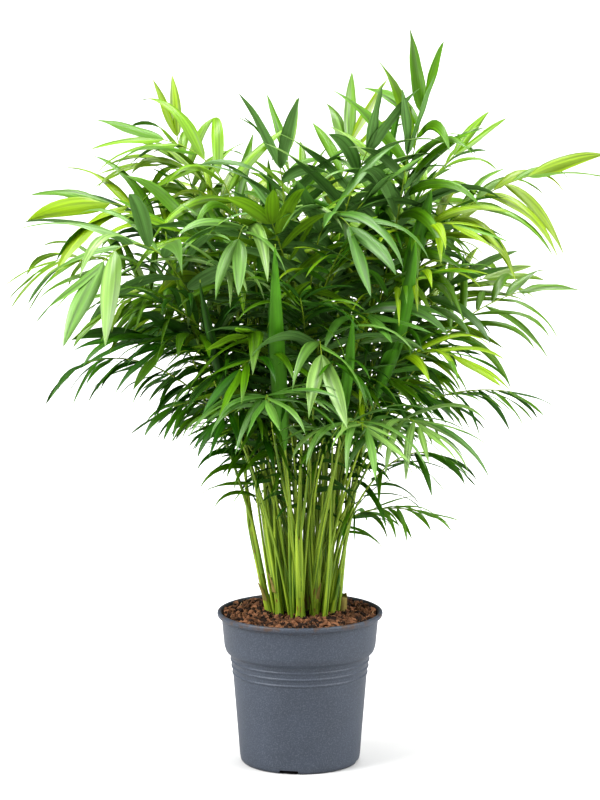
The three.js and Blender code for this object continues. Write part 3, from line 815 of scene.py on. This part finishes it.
def make_stalks(ribs):
    """Leaf stalks and ribs: each starts deep in its cane's sheath or in the soil, is grooved along its upper
    side, and tapers."""
    shape = streaked(template(turned([(0, 0), *[(1, i / 54) for i in range(55)], (0, 1)], 9)))
    x, y, s = shape["points"].T
    round_share, angle = np.hypot(x, y), np.arctan2(y, x)
    bundle = Bundle()
    sunk = 0.2
    for index, rib in enumerate(ribs):
        rng = np.random.default_rng(700 + index)
        curve = rib["curve"]
        deep = high = curve.handles[0] - 12 * UP
        if "owner" in rib:
            owner, down = rib["owner"], rng.uniform(0.12, 0.5)
            deep = mix(owner["foot"], owner["top"], down) + 2.4 * stalk_way(owner, rib["slot"])
            high = curve.handles[0] + 1.6 * stalk_way(owner, rib["slot"])
        inner = Bezier(deep, mix(deep, high, 0.35), mix(deep, high, 0.7), curve.handles[0])
        below = s < sunk
        share = np.where(below, 0, (s - sunk) / (1 - sunk))
        centre = np.where(below[:, None], inner.point(s / sunk), curve.point(share))
        along = np.where(below[:, None], inner.along(s / sunk), curve.along(share))
        inwards = unit(curve.handles[0] - curve.handles[3])
        up = squared(np.where(np.abs(along[:, 2:]) > 0.97, inwards, UP), along)
        right = np.cross(along, up)
        radius = mix(RIB["start"] + 0.1, RIB["end"] - 0.2, share**0.8) + 0.7 * np.clip(1 - s / sunk, 0, 1)
        radius = radius * (1 - 0.22 * np.exp(-((angle - math.pi / 2) / 0.5) ** 2)) * round_share
        ring = radius[:, None] * (np.cos(angle)[:, None] * right + np.sin(angle)[:, None] * up)
        bundle.add(shape, centre + ring, shift=rng.uniform(1, 90))
    finished("leaf_stalks", bundle.mesh("leaf_stalks"), [stalk_skin()], crease=70)


# ---- Leaflets ----


def blade_shape(columns, rows):
    """A closed leaflet in its own measures: -1 to 1 across, 0 to 1 along, 1 or -1 for upper or under side."""
    bm = bmesh.new()
    bmesh.ops.create_grid(bm, x_segments=columns, y_segments=rows, size=1)
    copied = bmesh.ops.duplicate(bm, geom=bm.verts[:] + bm.edges[:] + bm.faces[:])["geom"]
    under = [part for part in copied if isinstance(part, bmesh.types.BMFace)]
    bmesh.ops.reverse_faces(bm, faces=under)
    for face in under:
        face.material_index = 1
    low = {v for face in under for v in face.verts}
    for v in bm.verts:
        x, y = v.co.x, (v.co.y + 1) / 2
        inner = abs(x) < 0.99 and y < 0.99
        eased = mix(y, 0.5 - 0.5 * math.cos(math.pi * y), 0.4)
        v.co = (0 if y > 0.99 else x, eased, inner * (-1 if v in low else 1))
    uv = bm.loops.layers.uv.new("blade")
    for face in bm.faces:
        for loop in face.loops:
            loop[uv].uv = (0.5 + loop.vert.co.x / 2, loop.vert.co.y)
    bmesh.ops.remove_doubles(bm, verts=bm.verts, dist=1e-4)
    bmesh.ops.holes_fill(bm, edges=[e for e in bm.edges if e.is_boundary], sides=0)
    return template(bm)


def leaflet(shape, rib, pair, side, rng):
    """A leaflet bends down in an arc from root to tip. It is pleated, has a keel under its midrib, twists a
    little and runs out to a fine point."""
    kind, total = KINDS[rib["row"][5]], rib["curve"].length
    count = kind["finer"]
    share, last = (pair + 0.5) / count, pair + 1 == count
    stagger = 0 if last else 0.22 * side
    station = 1 - (1 - rib["stalk"]) * (count - 1 - pair + stagger) / count
    at, along, right, up = frame_at(rib, min(station, 1))
    leaving = LEAFLET["end"] if last else mix(*LEAFLET["angles"], share) + rng.normal(0, LEAFLET["vary"])
    angle = math.radians(leaving)
    lift = math.radians(kind["raise"] + rng.normal(0, LEAFLET["raise_vary"]))
    away = side * math.cos(lift) * right + math.sin(lift) * up
    way = math.cos(angle) * along + math.sin(angle) * away
    fullness = 0.5 + 0.5 * math.sin(math.pi * (0.12 + 0.8 * share))
    long = kind["length"] * fullness * rng.uniform(0.88, 1.1)
    wide = kind["width"] * (1.1 if last else 0.85 + 0.2 * share) * rng.uniform(0.8, 1.18)
    root = at + rib_radius(station) * (0.25 * up + side * 0.3 * right)

    level = unit(way * [1, 1, 0])
    start = math.atan2(math.hypot(way[0], way[1]), way[2])
    easy = mix(0.4, 1, math.sin(start)) * (LEAFLET["end_bend"] if last else 1)
    bend = math.radians(kind["bend"]) * rng.uniform(0.45, 1.45) * easy
    bend = min(bend, math.radians(LEAFLET["hang"]) - start)
    curl = rng.uniform(0.6, 2.2)
    u, s, layer = shape["points"].T
    turn = start + bend * s**curl
    steps = np.linspace(0, 1, 41)
    turns_on = start + bend * (steps[1:] - 0.0125) ** curl
    out = np.interp(s, steps, np.concatenate([[0], np.cumsum(np.sin(turns_on))]) * long / 40)
    rise = np.interp(s, steps, np.concatenate([[0], np.cumsum(np.cos(turns_on))]) * long / 40)
    sickle = long * rng.uniform(-0.04, 0.08)
    edge = squared(along, way)
    line = root + out[:, None] * level + rise[:, None] * UP + (sickle * s * s)[:, None] * edge

    # It leaves the rib with its width along the rib, and untwists until it bends flatwise.
    slope = np.sin(turn)[:, None] * level + np.cos(turn)[:, None] * UP
    above = np.sin(turn)[:, None] * UP - np.cos(turn)[:, None] * level
    flat = side * np.cross(UP, level)
    flatwise, upright = edge @ flat, edge @ (math.sin(start) * UP - math.cos(start) * level)
    untwisted = 0 * s if last else s
    turned_flat = flatwise + math.copysign(LEAFLET["untwist"], flatwise) * untwisted
    across = unit(turned_flat[:, None] * flat + ((1 - untwisted) * upright)[:, None] * above)
    facing = -side * np.cross(across, slope)
    twist = (rng.normal(0, math.radians(30)) * s + rng.normal(0, math.radians(12)))[:, None]
    across, facing = (np.cos(twist) * across + np.sin(twist) * facing,
                      np.cos(twist) * facing - np.sin(twist) * across)
    half = wide / 2 * (s**0.6 * np.maximum(1 - s, 0) ** 0.95 / 0.42 + 0.12 * (1 - s) ** 8)
    fold = np.radians(mix(28, 8, np.sqrt(s)))
    ripple = np.abs(u) * np.sin(rng.uniform(7, 13) * s + rng.uniform(0, 6) + 0.8 * np.sign(u))
    pleat = half * (0.1 * np.sin(math.pi * np.abs(u)) + 0.13 * ripple)
    depth = 0.2 + 0.5 * (np.abs(u) < 0.1) * (layer < 0) * (1 - s)
    height = -half * np.abs(u) * np.sin(fold) + pleat + layer * depth
    return line - (side * half * u * np.cos(fold))[:, None] * across + height[:, None] * facing


def spear(shape, rib, rng):
    """A folded frond: its leaflets still lie shut around the end of the stalk, in a long pleated spindle."""
    u, s, layer = shape["points"].T
    share = mix(1 - rib["long"] / rib["curve"].length, 1, s)
    centre, along = rib["curve"].point(share), rib["curve"].along(share)
    turn = rng.uniform(-0.5, 0.5) + 0.4 * s
    right = squared(heading(math.radians(rib["row"][0] - 90)), along)
    up = np.cross(right, along)
    right, up = (np.cos(turn)[:, None] * right + np.sin(turn)[:, None] * up,
                 np.cos(turn)[:, None] * up - np.sin(turn)[:, None] * right)
    half = rib["wide"] / 2 * (s**0.5 * np.maximum(1 - s, 0) ** 0.8 / 0.5 + 0.1 * (1 - s) ** 8)
    around = SPEAR["closed"] * math.pi * u
    pleated = half * (1 + SPEAR["pleat"] * np.cos(SPEAR["pleats"] * math.pi * u))
    sideways = (pleated - 0.15 * layer) * np.sin(around)
    outwards = 0.7 * pleated * (1 - np.cos(around)) + 0.15 * layer * np.cos(around) - np.minimum(1.6, half)
    return centre + sideways[:, None] * right + outwards[:, None] * up


# Three shades for each tone: a frond has one, and some of its leaflets the next. Each tone has one colour for
# its duller under side, one for light that comes through, and one strength of sheen. The tones are partly
# painted light: deep, with its dark under side and dark glow, is painted shade; pale is a greyer green that
# paints a sheen; bright's lighter under side paints light coming through from behind.
TONES = {
    "deep": ["#2e6202", "#3e7204", "#568404"],
    "mid": ["#588a02", "#709c04", "#8aac0a"],
    "bright": ["#5e8c04", "#729604", "#84a208"],
    "pale": ["#54842c", "#68943c", "#80a650"],
}
UNDERSIDES = {"deep": "#325e10", "mid": "#4e861a", "bright": "#7aa41e", "pale": "#6c9650"}
GLOW = {"deep": "#5a8e02", "mid": "#84aa04", "bright": "#8cac10", "pale": "#7c9c5c"}
SHINE = {"deep": 0.5, "mid": 0.7, "bright": 0.85, "pale": 1.0}


def make_leaves(ribs, spears):
    wide, slim, folded = blade_shape(4, 11), blade_shape(2, 9), blade_shape(20, 16)
    bundles = {tone: Bundle() for tone in TONES}
    names = {tone: [] for tone in TONES}
    for index, rib in enumerate(ribs):
        kind, tone = rib["row"][5:]
        rng = np.random.default_rng(1000 + index)
        shape = slim if kind in ("fine", "small") else wide
        for pair in range(KINDS[kind]["finer"]):
            for side in (1, -1):
                points = leaflet(shape, rib, pair, side, rng)
                shade = (index + (rng.random() < 0.3)) % 3
                bundles[tone].add(shape, points, 2 * shade, shift=rng.uniform(1, 90))
        names[tone] += [rib["name"]] if "name" in rib else []
    for index, rib in enumerate(spears):
        rng = np.random.default_rng(3000 + index)
        bundles[rib["row"][6]].add(folded, spear(folded, rib, rng), 2 * (index % 3), shift=rng.uniform(1, 90))
    for tone, bundle in bundles.items():
        skins = []
        for i, code in enumerate(TONES[tone]):
            skins.append(leaf_skin(f"living_leaf_{tone}_{i + 1}", code, 0.42, SHINE[tone], GLOW[tone]))
            skins.append(leaf_skin(f"leaf_underside_{tone}_{i + 1}", UNDERSIDES[tone], 0.6, 0.4, GLOW[tone]))
        name = f"leaves_{tone}"
        finished(name, bundle.mesh(name), skins, names[tone], crease=75)


# ---- Studio ----


def soft_light(name, azimuth, elevation, strength, spread):
    """A wide soft lamp, far off, so that the floor is lit evenly. Azimuth 0 is the camera's side."""
    lamp = bpy.data.lights.new(name, "SUN")
    lamp.energy = strength
    lamp.angle = math.radians(spread)
    made = bpy.data.objects.new(name, lamp)
    made.rotation_euler = (math.radians(90 - elevation), 0, math.radians(azimuth))
    bpy.context.scene.collection.objects.link(made)


def make_studio():
    bm = bmesh.new()
    bmesh.ops.create_grid(bm, x_segments=1, y_segments=1, size=60)
    mesh = bpy.data.meshes.new("floor")
    bm.to_mesh(mesh)
    bm.free()
    mesh.materials.append(studio_paper())
    floor = bpy.data.objects.new("floor", mesh)
    floor.location = (0, 0, -0.0005)
    bpy.context.scene.collection.objects.link(floor)

    soft_light("left_light", -64, 42, 4.6, 34)
    soft_light("right_light", 70, 38, 3.4, 44)
    soft_light("front_light", 4, 56, 0.9, 50)
    soft_light("top_light", 175, 66, 2.6, 30)

    world = bpy.data.worlds.new("studio")
    world.use_nodes = True
    world.node_tree.nodes.clear()
    light = add(world.node_tree, "ShaderNodeBackground", {"Color": (1, 1, 1, 1), "Strength": 0.22})
    add(world.node_tree, "ShaderNodeOutputWorld", {"Surface": light.outputs[0]})
    bpy.context.scene.world = world
    bpy.context.scene.view_settings.view_transform = "Standard"
    bpy.context.scene.view_settings.look = "Medium High Contrast"


def make_camera():
    """A long lens at the height of a raised tripod, looking down at the plant."""
    lens = bpy.data.cameras.new("camera")
    lens.lens = 163.1
    lens.sensor_width = 36
    lens.clip_end = 200
    made = bpy.data.objects.new("camera", lens)
    made.location = (0, -4.5, 1.209)
    made.rotation_euler = (math.radians(90 - 9.38), 0, 0)
    bpy.context.scene.collection.objects.link(made)
    bpy.context.scene.camera = made


# ---- Assembly ----

make_camera()
canes, ribs = grow()
ribs += young_fronds()
spears = spear_ribs()
make_pot()
make_soil()
make_crumbs()
make_canes(canes)
make_husks(canes)
make_stalks(ribs + spears)
make_leaves(ribs, spears)
make_studio()
